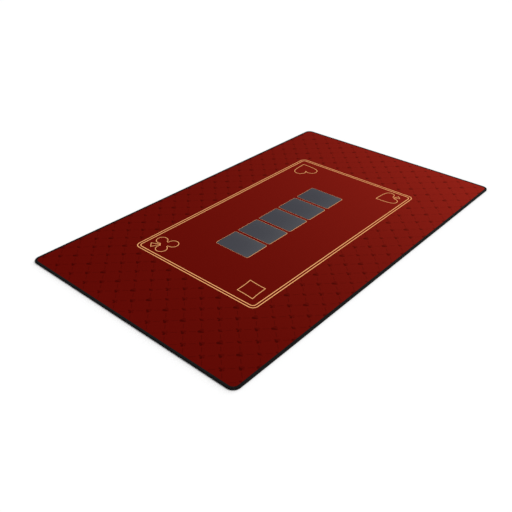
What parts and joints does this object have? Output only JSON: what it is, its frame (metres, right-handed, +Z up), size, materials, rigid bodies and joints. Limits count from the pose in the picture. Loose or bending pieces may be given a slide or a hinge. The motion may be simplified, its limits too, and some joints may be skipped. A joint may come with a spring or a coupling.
{
  "type": "folding poker table top mat",
  "caption": "Flexible poker table top mat: printed cloth on a foam rubber base with a stitched black edge; lies flat on a table and folds in half, playing face inside.",
  "frame": {"origin": "centre of the underside, on the table that the mat lies on", "axes": "+X along the long side, +Y away from the player across the short side, +Z up out of the playing face"},
  "size_m": [1, 0.6, 0.0043],
  "materials": {
    "printed_cloth": "fine woven cloth, matt, printed",
    "foam_rubber": "matt, fine non-slip texture",
    "edge_stitching": "close polyester stitches, slight sheen"
  },
  "bodies": {
    "left_half": {"left_half_base": "foam_rubber", "left_half_binding_back": "edge_stitching", "left_half_binding_end": "edge_stitching", "left_half_binding_front": "edge_stitching", "left_half_cloth": "printed_cloth"},
    "fold_strip": {"fold_strip_base": "foam_rubber", "fold_strip_binding_back": "edge_stitching", "fold_strip_binding_front": "edge_stitching", "fold_strip_cloth": "printed_cloth"},
    "right_half": {"right_half_base": "foam_rubber", "right_half_binding_back": "edge_stitching", "right_half_binding_end": "edge_stitching", "right_half_binding_front": "edge_stitching", "right_half_cloth": "printed_cloth"}
  },
  "joints": [
    {"name": "fold_first_bend", "type": "hinge", "parent": "left_half", "child": "fold_strip", "pos_m": [-0.004, 0, 0.00425], "axis": [0, -1, 0], "range_deg": [0, 90.4]},
    {"name": "fold_second_bend", "type": "hinge", "parent": "fold_strip", "child": "right_half", "pos_m": [0.004, 0, 0.00425], "axis": [0, -1, 0], "range_deg": [0, 90.4]}
  ]
}
